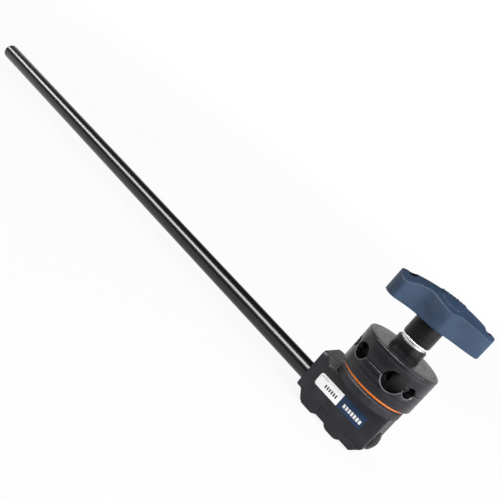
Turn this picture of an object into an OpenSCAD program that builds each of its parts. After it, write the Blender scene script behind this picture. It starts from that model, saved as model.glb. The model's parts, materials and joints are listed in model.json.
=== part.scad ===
// Grip arm: a round rod fixed in a casting, with a two-jaw clamp head, a thrust bearing and a wing handle.
// Origin: rod axis at the shoulder where the rod leaves the casting.
// +X runs along the rod to its free end, +Z along the clamp bolt towards the handle.

/* [Arm rod] */
// Diameter of the rod, a 5/8 inch stud size
rod_d = 15.875; // [15:0.005:17]
// Length of rod that stands out of the casting
rod_exposed = 508; // [250:1:1016]
// Chamfer on the free end of the rod
rod_chamfer = 1.4; // [0.5:0.1:3]
// Diameter of the spigot that is seated in the casting
spigot_d = 14; // [13:0.1:14.5]
// Distance that the spigot stops short of the end face of the casting
spigot_short = 3; // [1:0.5:8]

/* [Retaining screw] */
// Diameter of the screw that draws the rod's shoulder against the casting
screw_d = 8; // [6:0.5:9]
// Diameter of the screw's domed head
screw_head_d = 17.5; // [14:0.5:18.5]
// Height of the straight edge of the screw's head
screw_head_edge = 0.9; // [0.4:0.1:2]
// Height of the screw's head, its dome included
screw_head_h = 3.8; // [2.5:0.1:5]
// Length of the screw from its washer's seat to its tip
screw_grip = 12; // [8:0.5:14]
// Diameter of the washer under the screw's head
screw_washer_d = 19; // [16:0.5:19]
// Thickness of the washer under the screw's head
screw_washer_t = 1; // [0.5:0.1:1.5]
// Width across flats of the socket in the screw's head
screw_socket_af = 5; // [3:0.5:6]
// Depth of the socket in the screw's head
screw_socket_depth = 2.4; // [1:0.1:3]
// Diameter of the round recess in the end face that the washer lies in
screw_recess_d = 19.6; // [19:0.2:24]
// Depth of that recess
screw_recess_depth = 1.5; // [0.5:0.1:2.5]
// Length that the screw's hole in the rod is deeper than the screw
screw_hole_spare = 1.5; // [0.5:0.5:3]

/* [Casting] */
// Distance from the clamp axis to the shoulder
shoulder_reach = 42.5; // [40:0.5:50]
// Distance from the clamp axis to the flat end face
end_reach = 27.4; // [24:0.1:28.5]
// Width of the body across its two side faces
body_w = 32; // [30:0.5:38]
// Height of the body's top face over the rod axis
body_top = 27.3; // [26:0.1:28.5]
// Depth of the flats of the underside below the rod axis
body_bottom = 15; // [13.5:0.1:16]
// Length of the bottom corner that is cut off at the end face
end_cut_x = 7; // [3:0.5:8]
// Height of the bottom corner that is cut off at the end face
end_cut_z = 8.6; // [3:0.2:9]
// Length of the rim at the rod end
rim_len = 4.5; // [3:0.5:6]
// How far the rim stands proud of each side face
rim_proud = 1; // [0.5:0.1:2]
// Depth of the rim below the rod axis
rim_bottom = 9; // [8.8:0.1:12]
// Corner radius of the rim
rim_r = 3.5; // [1:0.5:6]
// Radius of the two upright edges of the end face
end_edge_r = 1.5; // [0.5:0.5:4]
// Angle in plan of the hollows beside the top face
hollow_angle = 25; // [15:1:35]
// Lean of the hollows' inner walls
hollow_lean = 20; // [10:1:35]
// Length of the hollows
hollow_len = 22; // [15:1:30]
// Depth of the hollows
hollow_depth = 7; // [4:0.5:12]

/* [Lobes and pockets] */
// Length of the lobe nearer the rod
lobe_len = 16.6; // [12:0.2:18]
// Distance from the clamp axis to the near end of that lobe
lobe_start = 16; // [15:0.2:18]
// Depth of that lobe below the rod axis
lobe_bottom = 16.8; // [16:0.1:18]
// Length of the lobe nearer the end face
heel_len = 16; // [12:0.2:18]
// Distance past the clamp axis to the far end of that lobe
heel_end = 10; // [8:0.2:12]
// Depth of that lobe below the rod axis
heel_bottom = 17; // [16:0.1:19]
// Corner radius of both lobes
lobe_r = 4; // [2:0.5:6]
// Height of the pockets in the side faces over the underside
pocket_h = 9; // [5:0.5:10]
// Depth of the pockets in the side faces
pocket_depth = 2; // [1:0.1:3]
// Length of the pocket near the end face
heel_pocket_len = 14; // [8:0.5:16]

/* [Boss] */
// Diameter of the round boss that carries the jaws
boss_d = 58.6; // [56:0.2:64]
// Height of the boss's top face over the rod axis
boss_top = 30.5; // [30:0.1:33]
// Thickness of the boss at its rim
boss_t = 6.9; // [5:0.1:8]
// Chamfer on the boss's top edge
boss_chamfer = 0.7; // [0.3:0.1:1.2]
// Height of the cone that carries the boss's rim
boss_cone_h = 5; // [3:0.5:8]
// Diameter of the land under the friction ring
land_d = 56; // [50:0.5:58]
// Height of the land over the boss
land_h = 1.4; // [0.6:0.1:1.5]

/* [Friction ring] */
// Outer diameter of the friction ring
ring_d = 58.8; // [56:0.2:63.4]
// Inner diameter of the friction ring
ring_bore_d = 30; // [24:0.5:40]
// Thickness of the friction ring
ring_t = 1.9; // [1:0.1:2.5]

/* [Jaws] */
// Diameter of both jaws
jaw_d = 64; // [62:0.2:70]
// Thickness of the inner jaw
inner_jaw_h = 16.4; // [14:0.1:20]
// Thickness of the outer jaw
outer_jaw_h = 15.3; // [14:0.1:20]
// Gap between the jaws when they grip a bar
jaw_gap = 0.6; // [0.4:0.1:1.2]
// Chamfer on the jaws' outer edges
jaw_chamfer = 0.8; // [0.4:0.1:1.5]
// Chamfer on the jaws' meeting edges
split_chamfer = 0.3; // [0.1:0.1:0.6]
// Distance from the clamp axis to each channel's axis
channel_offset = 16; // [15.5:0.1:17]
// Angle of the jaws about the clamp axis at rest
jaw_angle = -6.5; // [-20:0.5:20]
// Diameter of the bar for the widest channel, 5/8 inch
bar_wide_d = 15.875; // [15:0.005:16]
// Diameter of the bar for the middle channel, 1/2 inch
bar_middle_d = 12.7; // [11:0.1:14]
// Diameter of the bar for the slim channel, 3/8 inch
bar_slim_d = 9.525; // [8:0.005:11]
// Diameter of the bar for the finest channel, 1/4 inch
bar_fine_d = 6.35; // [5:0.05:8]
// Extra radius of a channel's wall over its bar
channel_fit = 0.06; // [0.02:0.01:0.1]

/* [Jaw guides] */
// Diameter of the two dowels that keep the jaws in line
dowel_d = 4; // [3:0.1:4.4]
// Distance from the clamp axis to each dowel
dowel_reach = 27.5; // [27:0.1:28]
// Depth of the dowels in the inner jaw
dowel_seat = 9; // [6:0.5:12]
// Length of the dowels in the outer jaw
dowel_reach_up = 10; // [8:0.5:11.5]
// Length that the dowels' holes in the outer jaw are deeper than the dowels
dowel_spare = 1.5; // [1:0.5:3]

/* [Jaw spring] */
// Diameter of the spring wire
wire_d = 1.2; // [0.8:0.1:1.2]
// Mean diameter of the coil
coil_d = 12.5; // [12.2:0.1:12.6]
// Number of turns
coil_turns = 7; // [4:0.5:8]
// Diameter of the spring's seats in the jaws
spring_seat_d = 14.4; // [14.2:0.1:14.6]
// Depth of the spring's seat in each jaw
spring_seat_depth = 8; // [6:0.5:10]

/* [Clamp bolt] */
// Diameter of the bolt's thread
bolt_d = 10; // [9:0.1:10.2]
// Pitch of the bolt's thread
bolt_pitch = 1.5; // [1:0.25:2]
// Turns that the handle can be undone by
handle_turns = 4.25; // [2:0.25:4.25]
// Width across flats of the bolt's head
bolt_head_af = 16; // [14:0.5:17]
// Height of the bolt's head
bolt_head_h = 4; // [3:0.1:4.2]
// Diameter of the bolt's stepped tip, which carries the stop nut
tip_d = 8; // [6:0.1:8.5]
// Width across flats of the stop nut
nut_af = 13; // [11:0.5:13.5]
// Height of the stop nut
nut_h = 6.5; // [4:0.5:7]
// Slack between the lifted handle and the stop nut
nut_slack = 0.5; // [0.3:0.1:1]
// Length of full thread over the insert
thread_spare = 1.5; // [0.5:0.5:3]

/* [Collar and thrust bearing] */
// Diameter of the thin flange under the collar
flange_d = 26.4; // [25:0.2:30]
// Thickness of that flange
flange_t = 0.8; // [0.5:0.1:1.5]
// Diameter of the collar
collar_d = 25.4; // [24:0.2:28]
// Height of the collar
collar_h = 7.2; // [5:0.1:10]
// Chamfer on the collar's top edge
collar_chamfer = 0.7; // [0.3:0.1:1.2]
// Diameter of the lower bearing washer and the roller cage
bearing_d = 21.2; // [20:0.2:23]
// Thickness of the lower bearing washer
lower_washer_t = 1; // [0.8:0.1:1.5]
// Diameter of the rollers
roller_d = 1.9; // [1.5:0.1:2.5]
// Length of the rollers
roller_len = 3.4; // [2.5:0.1:3.6]
// Number of rollers
roller_count = 16; // [10:1:18]
// Distance from the clamp axis to the middle of each roller
roller_reach = 7.9; // [7.5:0.1:8.2]
// Thickness of the roller cage
cage_t = 1.3; // [0.8:0.1:1.4]
// How far the roller cage stays inside the lower washer's edge
cage_inset = 0.4; // [0.2:0.1:1]
// Diameter of the upper bearing washer
upper_washer_d = 23; // [22:0.2:24]
// Thickness of the upper bearing washer
upper_washer_t = 1.7; // [1:0.1:2.5]

/* [Handle stem] */
// Diameter of the stem under the handle
stem_d = 24; // [22:0.2:27]
// Height of the stem that shows under the handle
stem_h = 16.8; // [14:0.1:22]
// Chamfer on the stem's bottom edge
stem_chamfer = 1; // [0.4:0.1:2]
// Diameter of the stem inside the handle
stem_top_d = 21; // [20.5:0.1:21.5]
// Diameter of the threaded insert
insert_d = 15; // [13:0.2:15.6]
// Length of the threaded insert
insert_h = 16; // [12:0.5:16]
// Diameter of the hollow over the insert, where the stop nut runs
hollow_d = 16.4; // [16:0.1:17]
// Height of the stem's top over the metal bar inside the handle
stem_over = 1; // [0.5:0.5:2]

/* [Handle grip] */
// Angle of the wings about the clamp axis
handle_angle = 36.7; // [0:0.1:180]
// Distance from the clamp axis to the centre of each wing tip
wing_reach = 34; // [30:0.5:45]
// Width of each wing
wing_w = 20; // [18:0.5:24]
// Sideways offset of each wing's centre line
wing_offset = 3; // [0:0.5:5]
// Height of the grip at the wing tips
wing_tip_h = 21.4; // [19:0.2:23]
// Height of the grip at its middle
wing_mid_h = 25.6; // [24:0.2:28]
// Radius of the grip's top edges
grip_edge_r = 5.5; // [3:0.5:7]
// Diameter of the grip's hub
hub_d = 32; // [31:0.5:36]
// Height of the hub over the wings' inner ends
hub_rise = 0.4; // [0.2:0.1:1]
// Diameter of the blind hole in each wing
wing_hole_d = 8; // [4:0.5:9]

/* [Handle core and cap] */
// Width of the metal bar inside the grip
core_w = 7; // [5:0.5:8]
// Height of the metal bar inside the grip
core_h = 10; // [8:0.5:10]
// Length of the metal bar inside the grip
core_len = 74; // [60:1:76]
// Diameter of the ring in the middle of the metal bar
core_ring_d = 26.4; // [25:0.2:27]
// Height of the metal bar's underside over the grip's underside
core_lift = 5; // [4:0.5:6]
// Diameter of the cap on the grip
cap_d = 23; // [20:0.5:26]
// Thickness of the cap's rim
cap_t = 4.2; // [3:0.1:4.6]
// Height of the cap's dome over the grip
cap_proud = 0.9; // [0.4:0.1:1.5]
// Number of ribs on the cap
cap_ribs = 5; // [3:2:5]
// Width of each rib
rib_w = 1.2; // [0.8:0.1:1.8]
// Distance between the ribs' middles
rib_step = 3.2; // [2.4:0.1:3.4]
// Length of the ribs
rib_len = 14; // [8:0.5:14.5]

/* [Label plates] */
// Height of both plates
plate_h = 11.2; // [8:0.2:13]
// Length of the white plate
white_plate_len = 24.3; // [15:0.1:26]
// Length of the blue plate
blue_plate_len = 24.2; // [15:0.1:26]
// Thickness of both plates
plate_t = 0.3; // [0.2:0.05:0.6]
// Distance from the clamp axis to the end of the white plate near the rod
plate_start = 32.5; // [28:0.5:36]
// Height of the plates' lower edge over the rod axis
plate_rise = 2.8; // [1:0.1:6]
// Corner radius of the plates' outer ends
plate_r = 2.4; // [1:0.1:4]

/* [Fits] */
// Radial clearance of a part that turns or slides on another
running_fit = 0.06; // [0.02:0.01:0.1]
// Radial clearance of a part that is seated in another
seat_fit = 0.04; // [0.01:0.01:0.08]
// Gap between flat faces that turn on each other
face_gap = 0.1; // [0.05:0.01:0.15]
// Radial clearance of a part that passes round the bolt and never touches it
pass_fit = 0.18; // [0.1:0.02:0.3]
// Small chamfer that breaks the sharp edges of turned parts
edge_break = 0.3; // [0.1:0.1:0.4]

/* [Hidden] */
$fn = 96;
// A little extra length for cuts that run past a face
cut = 1;

// Heights over the rod axis, stacked upwards from the boss
boss_z = boss_top - boss_t;
land_top = boss_top + land_h;
ring_z = land_top + face_gap;
inner_jaw_z = ring_z + ring_t;
inner_jaw_top = inner_jaw_z + inner_jaw_h;
split_z = inner_jaw_top + jaw_gap / 2;
outer_jaw_z = inner_jaw_top + jaw_gap;
outer_jaw_top = outer_jaw_z + outer_jaw_h;
collar_z = outer_jaw_top + flange_t;
collar_top = collar_z + collar_h;
lower_washer_z = collar_top + face_gap;
lower_washer_top = lower_washer_z + lower_washer_t;
roller_z = lower_washer_top + face_gap / 2 + roller_d / 2;
upper_washer_z = roller_z + roller_d / 2 + face_gap;
stem_z = upper_washer_z + upper_washer_t;
grip_z = stem_z + stem_h;
insert_top = stem_z + insert_h;
stem_top = grip_z + core_lift + core_h + stem_over;
lift = bolt_pitch * handle_turns;
nut_z = insert_top + lift + nut_slack;
tip_z = insert_top + thread_spare;
tip_top = nut_z + nut_h + bolt_pitch;
grip_top = grip_z + wing_mid_h + hub_rise;
core_z = grip_z + core_lift;

// Lengths along the rod's line, measured from the clamp axis
screw_face = end_reach - screw_recess_depth;
screw_in_rod = screw_grip - spigot_short + screw_recess_depth;
spigot_end = end_reach - spigot_short;
spigot_len = shoulder_reach + spigot_end;
lobe_end = lobe_start + lobe_len;
heel_start = heel_len - heel_end;

// Bores that run on the bolt, and bores that only pass round it
bolt_bore_d = bolt_d + 2 * running_fit;
bolt_pass_d = bolt_d + 2 * pass_fit;

module at_clamp() {
    translate([-shoulder_reach, 0, 0]) children();
}

// A round disc on the clamp axis with chamfered edges
module disc(d, z, h, bottom_chamfer, top_chamfer) {
    translate([0, 0, z])
        rotate_extrude()
            polygon([[0, 0], [d / 2 - bottom_chamfer, 0], [d / 2, bottom_chamfer],
                     [d / 2, h - top_chamfer], [d / 2 - top_chamfer, h], [0, h]]);
}

// A straight hole or pin on the clamp axis
module post(d, z, top) {
    translate([0, 0, z]) cylinder(d = d, h = top - z);
}

// An outline drawn in x and z, given a thickness across the part
module across(width) {
    translate([0, width / 2, 0]) rotate([90, 0, 0]) linear_extrude(width) children();
}

module rounded_box_outline(x0, x1, y0, y1, r) {
    translate([x0 + r, y0]) square([x1 - x0 - 2 * r, y1 - y0]);
    translate([x0, y0 + r]) square([x1 - x0, y1 - y0 - 2 * r]);
    for (x = [x0 + r, x1 - r], y = [y0 + r, y1 - r]) translate([x, y]) circle(r);
}

// The body's outline in x and z, with a chin that slopes up to the rim and two lobes below
module body_outline() {
    chin_x = shoulder_reach - rim_len;
    polygon([[-end_reach, boss_z + cut], [-end_reach, -body_bottom + end_cut_z],
             [-end_reach + end_cut_x, -body_bottom], [lobe_end, -body_bottom],
             [chin_x, -rim_bottom + cut], [chin_x + rim_len / 2, -rim_bottom + cut],
             [chin_x + rim_len / 2, body_top], [0, body_top], [0, boss_z + cut]]);
    rounded_box_outline(lobe_start, lobe_end, -lobe_bottom, 0, lobe_r);
    rounded_box_outline(-heel_end, heel_start, -heel_bottom, 0, lobe_r);
}

// The body's outline in plan, with the upright edges of its end face rounded
module body_plan() {
    translate([-end_reach + end_edge_r, -body_w / 2]) square([end_reach + shoulder_reach, body_w]);
    translate([-end_reach, -body_w / 2 + end_edge_r]) square([end_reach, body_w - 2 * end_edge_r]);
    for (side = [-1, 1])
        translate([-end_reach + end_edge_r, side * (body_w / 2 - end_edge_r)]) circle(end_edge_r);
}

// The rim around the root of the rod
module rim() {
    rim_half = body_w / 2 + rim_proud;
    translate([shoulder_reach - rim_len, 0, 0])
        rotate([90, 0, 90])
            linear_extrude(rim_len)
                rounded_box_outline(-rim_half, rim_half, -rim_bottom, body_top, rim_r);
}

// The pockets are cut into both side faces and open downwards
module side_pockets() {
    for (side = [-1, 1]) {
        translate([heel_start, side * body_w / 2, -body_bottom - cut])
            translate([0, -pocket_depth, 0])
                cube([lobe_start - heel_start, 2 * pocket_depth, pocket_h + cut]);
        translate([-heel_end - heel_pocket_len - cut, side * body_w / 2, -body_bottom - cut])
            translate([0, -pocket_depth, 0])
                cube([heel_pocket_len + cut, 2 * pocket_depth, pocket_h + cut]);
    }
}

// Sloping hollows run from behind the rim in under the boss
module top_hollows() {
    for (side = [-1, 1])
        translate([shoulder_reach - rim_len, side * body_w / 2, body_top])
            rotate([side * hollow_lean, 0, side * hollow_angle])
                translate([-hollow_len, side > 0 ? 0 : -body_w / 2, -hollow_depth])
                    cube([hollow_len, body_w / 2, 2 * hollow_depth]);
}

module boss() {
    disc(boss_d, boss_z, boss_t, 0, boss_chamfer);
    post(land_d, boss_top - cut, land_top);
    translate([0, 0, boss_z - boss_cone_h])
        cylinder(d1 = body_w - 2 * cut, d2 = boss_d - 2 * boss_chamfer, h = boss_cone_h);
}

module head_casting() {
    seat_z = -body_bottom + bolt_head_h;
    color("#3a3a3e")
        at_clamp()
            difference() {
                union() {
                    difference() {
                        intersection() {
                            across(body_w) body_outline();
                            translate([0, 0, -heel_bottom - cut])
                                linear_extrude(heel_bottom + body_top + 2 * cut) body_plan();
                        }
                        side_pockets();
                        top_hollows();
                    }
                    rim();
                    boss();
                }
                // Bore for the spigot, right through from the shoulder to the end face
                translate([-end_reach - cut, 0, 0])
                    rotate([0, 90, 0])
                        cylinder(d = spigot_d + 2 * seat_fit, h = end_reach + shoulder_reach + 2 * cut);
                translate([-end_reach - cut, 0, 0])
                    rotate([0, 90, 0])
                        cylinder(d = screw_recess_d, h = screw_recess_depth + cut);
                // Hole for the clamp bolt, with a six-sided seat for its head
                post(bolt_d + 2 * seat_fit, -heel_bottom - cut, land_top + cut);
                translate([0, 0, -heel_bottom - cut])
                    cylinder(d = (bolt_head_af + 2 * seat_fit) / cos(30),
                             h = seat_z + heel_bottom + cut, $fn = 6);
            }
}

module arm_rod() {
    color("#2b2b2e")
        difference() {
            union() {
                rotate([0, 90, 0])
                    rotate_extrude()
                        polygon([[0, 0], [rod_d / 2, 0], [rod_d / 2, rod_exposed - rod_chamfer],
                                 [rod_d / 2 - rod_chamfer, rod_exposed], [0, rod_exposed]]);
                translate([-spigot_len, 0, 0])
                    rotate([0, 90, 0])
                        cylinder(d = spigot_d, h = spigot_len + cut);
            }
            at_clamp() post(bolt_d + 2 * seat_fit, -rod_d, rod_d);
            translate([-spigot_len - cut, 0, 0])
                rotate([0, 90, 0])
                    cylinder(d = screw_d + 2 * seat_fit, h = screw_in_rod + screw_hole_spare + cut);
        }
}

// The screw lies on the rod's axis and its head points away from the rod
module at_screw_seat() {
    at_clamp() translate([-screw_face, 0, 0]) rotate([0, -90, 0]) children();
}

module retaining_screw() {
    dome_h = screw_head_h - screw_head_edge;
    dome_r = (pow(screw_head_d / 2, 2) + dome_h * dome_h) / (2 * dome_h);
    color("#2b2b2e")
        at_screw_seat() {
            difference() {
                translate([0, 0, screw_washer_t]) {
                    cylinder(d = screw_head_d, h = screw_head_edge);
                    intersection() {
                        translate([0, 0, screw_head_h - dome_r]) sphere(dome_r);
                        cylinder(d = screw_head_d, h = screw_head_h);
                    }
                }
                translate([0, 0, screw_washer_t + screw_head_h - screw_socket_depth])
                    cylinder(d = screw_socket_af / cos(30), h = screw_socket_depth + cut, $fn = 6);
            }
            translate([0, 0, -screw_grip])
                cylinder(d = screw_d, h = screw_grip + screw_washer_t + screw_head_edge / 2);
        }
}

module screw_washer() {
    color("#9a9a9c")
        at_screw_seat()
            difference() {
                cylinder(d = screw_washer_d, h = screw_washer_t);
                translate([0, 0, -cut]) cylinder(d = screw_d + 2 * seat_fit, h = screw_washer_t + 2 * cut);
            }
}

module clamp_bolt() {
    color("#a8a8aa")
        at_clamp() {
            translate([0, 0, -body_bottom]) cylinder(d = bolt_head_af / cos(30), h = bolt_head_h, $fn = 6);
            post(bolt_d, -body_bottom + cut, tip_z);
            disc(tip_d, tip_z - cut, tip_top - tip_z + cut, 0, 2 * edge_break);
        }
}

module stop_nut() {
    color("#b0b0b2")
        at_clamp()
            difference() {
                translate([0, 0, nut_z]) cylinder(d = nut_af / cos(30), h = nut_h, $fn = 6);
                post(tip_d + 2 * seat_fit, nut_z - cut, nut_z + nut_h + cut);
            }
}

// A plate on the side face, with its two outer corners rounded on one side only
module side_plate(x0, x1, round_at_rod) {
    z0 = plate_rise;
    z1 = plate_rise + plate_h;
    square_x0 = round_at_rod ? x0 : x0 + plate_r;
    square_x1 = round_at_rod ? x1 - plate_r : x1;
    at_clamp()
        translate([0, body_w / 2 + plate_t, 0])
            rotate([90, 0, 0])
                linear_extrude(plate_t) {
                    translate([square_x0, z0]) square([square_x1 - square_x0, z1 - z0]);
                    rounded_box_outline(x0, x1, z0, z1, plate_r);
                }
}

module white_plate() {
    color("white") side_plate(plate_start - white_plate_len, plate_start, true);
}

module blue_plate() {
    plate_end = plate_start - white_plate_len;
    color("#1d3f66") side_plate(plate_end - blue_plate_len, plate_end, false);
}

// The four channels cross in a hash pattern, each on its own side of the bolt
module channels() {
    turns = [0, 180, 90, 270];
    bars = [bar_middle_d, bar_wide_d, bar_slim_d, bar_fine_d];
    for (i = [0 : 3])
        rotate([0, 0, jaw_angle + turns[i]])
            translate([channel_offset, 0, split_z])
                rotate([90, 0, 0])
                    cylinder(d = bars[i] + 2 * channel_fit, h = jaw_d + 2 * cut, center = true);
}

module at_dowels() {
    for (side = [-1, 1]) rotate([0, 0, jaw_angle]) translate([side * dowel_reach, 0, 0]) children();
}

module inner_jaw() {
    color("#3c3c40")
        at_clamp()
            difference() {
                disc(jaw_d, inner_jaw_z, inner_jaw_h, jaw_chamfer, split_chamfer);
                channels();
                post(bolt_bore_d, inner_jaw_z - cut, inner_jaw_top + cut);
                post(spring_seat_d, inner_jaw_top - spring_seat_depth, inner_jaw_top + cut);
                at_dowels() post(dowel_d + 2 * seat_fit, inner_jaw_top - dowel_seat, inner_jaw_top + cut);
            }
}

module friction_ring() {
    color("#e8761c")
        at_clamp()
            difference() {
                disc(ring_d, ring_z, ring_t, edge_break, 0);
                post(ring_bore_d, ring_z - cut, ring_z + ring_t + cut);
            }
}

module jaw_dowels() {
    color("#b4b4b6")
        at_clamp()
            at_dowels()
                disc(dowel_d, inner_jaw_top - dowel_seat, dowel_seat + jaw_gap + dowel_reach_up,
                     edge_break, edge_break);
}

// The spring is one tube swept along a helix, with its ends run level
spring_z = inner_jaw_top - spring_seat_depth;
spring_top = outer_jaw_z + spring_seat_depth;
spring_h = spring_top - spring_z - face_gap;
coil_steps = 18;
wire_sides = 8;
coil_rings = coil_steps * coil_turns;
function helix(i) =
    let (a = 360 * i / coil_steps,
         level = min(coil_turns - 0.75, max(0, i / coil_steps - 0.75)) / (coil_turns - 1.5),
         rise = min(1, level))
    [coil_d / 2 * cos(a), coil_d / 2 * sin(a), wire_d / 2 + rise * (spring_h - wire_d)];
function helix_ring(i) =
    let (a = 360 * i / coil_steps, p = helix(i))
    [for (k = [0 : wire_sides - 1])
        let (b = 360 * k / wire_sides)
        p + wire_d / 2 * [cos(b) * cos(a), cos(b) * sin(a), sin(b)]];
function tube_faces(rings, sides) = concat(
    [for (i = [0 : rings - 1], k = [0 : sides - 1])
        [i * sides + k, i * sides + (k + 1) % sides, (i + 1) * sides + k]],
    [for (i = [0 : rings - 1], k = [0 : sides - 1])
        [i * sides + (k + 1) % sides, (i + 1) * sides + (k + 1) % sides, (i + 1) * sides + k]],
    [for (k = [1 : sides - 2]) [0, k + 1, k]],
    [for (k = [1 : sides - 2]) [rings * sides, rings * sides + k, rings * sides + k + 1]]);

// The least gap between neighbouring turns of the spring's wire
spring_gap = min([for (i = [0 : coil_rings], j = [i + coil_steps / 2 : coil_rings])
    norm(helix(i) - helix(j))]) - wire_d;
echo(str("least gap of the jaw spring to itself, mm: ", spring_gap));

module jaw_spring() {
    color("#a0a0a2")
        at_clamp()
            translate([0, 0, spring_z])
                polyhedron(points = [for (i = [0 : coil_rings]) each helix_ring(i)],
                           faces = tube_faces(coil_rings, wire_sides));
}

module outer_jaw() {
    color("#3c3c40")
        at_clamp()
            difference() {
                disc(jaw_d, outer_jaw_z, outer_jaw_h, split_chamfer, jaw_chamfer);
                channels();
                post(bolt_bore_d, outer_jaw_z - cut, outer_jaw_top + cut);
                post(spring_seat_d, outer_jaw_z - cut, outer_jaw_z + spring_seat_depth);
                at_dowels()
                    post(dowel_d + 2 * running_fit, outer_jaw_z - cut,
                         outer_jaw_z + dowel_reach_up + dowel_spare);
            }
}

module collar_flange() {
    color("#2a2a2d")
        at_clamp()
            difference() {
                disc(flange_d, outer_jaw_top, flange_t, 0, edge_break);
                post(bolt_pass_d, outer_jaw_top - cut, collar_z + cut);
            }
}

module bearing_collar() {
    color("#1f1f22")
        at_clamp()
            difference() {
                disc(collar_d, collar_z, collar_h, edge_break, collar_chamfer);
                post(bolt_pass_d, collar_z - cut, collar_top + cut);
            }
}

module lower_bearing_washer() {
    color("#c8c8ca")
        at_clamp()
            difference() {
                disc(bearing_d, lower_washer_z, lower_washer_t, edge_break, edge_break);
                post(bolt_bore_d, lower_washer_z - cut, lower_washer_top + cut);
            }
}

module at_rollers() {
    for (i = [0 : roller_count - 1])
        rotate([0, 0, 360 * i / roller_count])
            translate([roller_reach, 0, roller_z])
                children();
}

module roller_cage() {
    pocket_l = roller_len + 2 * face_gap;
    pocket_w = roller_d + 2 * running_fit;
    color("#b8b8ba")
        at_clamp()
            difference() {
                disc(bearing_d - 2 * cage_inset, roller_z - cage_t / 2, cage_t, 0, 0);
                post(bolt_pass_d, roller_z - cage_t, roller_z + cage_t);
                at_rollers() cube([pocket_l, pocket_w, 2 * cage_t], center = true);
            }
}

module bearing_rollers() {
    color("#d8d8da")
        at_clamp()
            at_rollers()
                rotate([0, 90, 0])
                    cylinder(d = roller_d, h = roller_len, center = true, $fn = 24);
}

module upper_bearing_washer() {
    color("#dcdcde")
        at_clamp()
            difference() {
                disc(upper_washer_d, upper_washer_z, upper_washer_t, edge_break, edge_break);
                post(bolt_bore_d, upper_washer_z - cut, stem_z + cut);
            }
}

module handle_stem() {
    color("#2c2c2f")
        at_clamp()
            difference() {
                union() {
                    disc(stem_d, stem_z, stem_h, stem_chamfer, 0);
                    disc(stem_top_d, grip_z - cut, stem_top - grip_z + cut, 0, edge_break);
                }
                post(insert_d + 2 * seat_fit, stem_z - cut, insert_top + cut);
                post(hollow_d, insert_top, stem_top + cut);
            }
}

module threaded_insert() {
    color("#b08d4a")
        at_clamp()
            difference() {
                post(insert_d, stem_z, insert_top);
                post(bolt_bore_d, stem_z - cut, insert_top + cut);
            }
}

// The core's bars and the pockets for them share one shape, which grows by the given clearance
module core_bars(clearance) {
    bar_root = (stem_top_d + core_ring_d) / 4;
    for (turn = [0, 180])
        rotate([0, 0, handle_angle + turn])
            translate([bar_root, -core_w / 2 - clearance, core_z - clearance])
                cube([core_len / 2 - bar_root + clearance, core_w + 2 * clearance, core_h + 2 * clearance]);
}

module handle_core() {
    color("#8d8f92")
        at_clamp() {
            core_bars(0);
            difference() {
                post(core_ring_d, core_z, core_z + core_h);
                post(stem_top_d + 2 * seat_fit, core_z - cut, core_z + core_h + cut);
            }
        }
}

// A round pillar with a rounded top edge, standing on the grip's underside
module pillar(d, h) {
    rotate_extrude($fn = 32) {
        square([d / 2 - grip_edge_r, h]);
        square([d / 2, h - grip_edge_r]);
        translate([d / 2 - grip_edge_r, h - grip_edge_r])
            intersection() {
                circle(grip_edge_r, $fn = 24);
                square(grip_edge_r);
            }
    }
}

// One wing reaches from the hub to its tip, with its centre line set off to one side
module wing() {
    hull() {
        translate([wing_reach, -wing_offset, 0]) pillar(wing_w, wing_tip_h);
        translate([wing_offset, -wing_offset, 0]) pillar(wing_w, wing_mid_h);
    }
}

module handle_grip() {
    color("#3d5068")
        at_clamp()
            difference() {
                translate([0, 0, grip_z])
                    rotate([0, 0, handle_angle]) {
                        wing();
                        rotate([0, 0, 180]) wing();
                        hull() pillar(hub_d, wing_mid_h + hub_rise);
                    }
                post(stem_top_d + 2 * seat_fit, grip_z - cut, stem_top);
                core_bars(seat_fit);
                post(core_ring_d + 2 * seat_fit, core_z - seat_fit, core_z + core_h + seat_fit);
                post(hollow_d, stem_top - cut, grip_top);
                post(cap_d + 2 * seat_fit, grip_top - cap_t, grip_top + cut);
                rotate([0, 0, handle_angle])
                    for (side = [-1, 1])
                        translate([side * wing_reach, -side * wing_offset, 0])
                            post(wing_hole_d, core_z + core_h, grip_top);
            }
}

module handle_cap() {
    color("#43566e")
        at_clamp() {
            post(hollow_d - 2 * seat_fit, stem_top, grip_top - cap_t + cut);
            disc(cap_d, grip_top - cap_t, cap_t + cap_proud / 2, 0, cap_proud);
            rotate([0, 0, handle_angle])
                for (i = [-(cap_ribs - 1) / 2 : (cap_ribs - 1) / 2])
                    translate([i * rib_step, 0, grip_top + cap_proud / 2])
                        cube([rib_w, rib_len, cap_proud], center = true);
        }
}

head_casting();
arm_rod();
retaining_screw();
screw_washer();
clamp_bolt();
stop_nut();
white_plate();
blue_plate();
inner_jaw();
friction_ring();
jaw_dowels();
jaw_spring();
outer_jaw();
collar_flange();
bearing_collar();
lower_bearing_washer();
roller_cage();
bearing_rollers();
upper_bearing_washer();
handle_stem();
threaded_insert();
handle_core();
handle_grip();
handle_cap();
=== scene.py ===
"""Dresses the packed grip arm: a rod in a black casting, a two-jaw clamp head and a blue wing handle.

The CAD nodes give every piece its place. New pieces are shaped here in millimetres, then brought to
metres, and each rides on the body of the node that it stands for.
"""

import json
import logging
import math
from dataclasses import dataclass
from enum import Enum
from functools import cache, partial, reduce

import bpy
from mathutils import Matrix, Vector


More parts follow.
